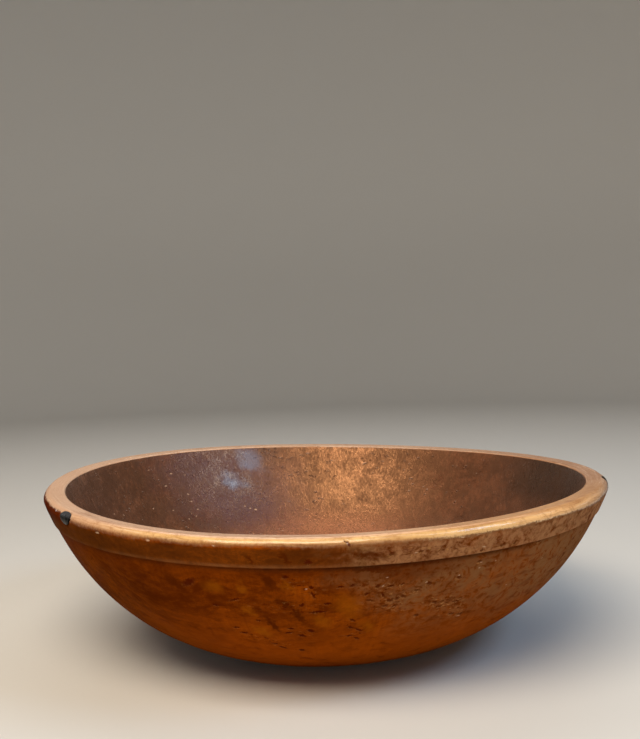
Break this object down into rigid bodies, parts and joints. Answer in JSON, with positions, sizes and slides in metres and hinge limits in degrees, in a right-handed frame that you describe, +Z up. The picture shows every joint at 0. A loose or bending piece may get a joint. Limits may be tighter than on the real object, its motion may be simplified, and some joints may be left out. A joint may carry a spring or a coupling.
{
  "type": "wooden salad bowl",
  "caption": "Large round turned wooden salad bowl with a flat-topped rim, a raised band under it, a curved wall and a flat base; dark encased knots sit in the rim.",
  "frame": {"origin": "centre of the flat base, on the surface the bowl stands on", "axes": "+Z up along the turning axis, -Y towards the viewer of the picture, +X to the viewer's right"},
  "size_m": [0.4602, 0.4536, 0.137],
  "materials": {
    "waxed_maple": "old wax, satin, worn paler along the rim",
    "left_knot_wood": "hard black knot, glossy",
    "right_knot_wood": "hard dark knot, satin to glossy"
  },
  "bodies": {
    "root": {"bowl": "waxed_maple", "rim_knot_left": "left_knot_wood", "rim_knot_right": "right_knot_wood"}
  },
  "joints": []
}
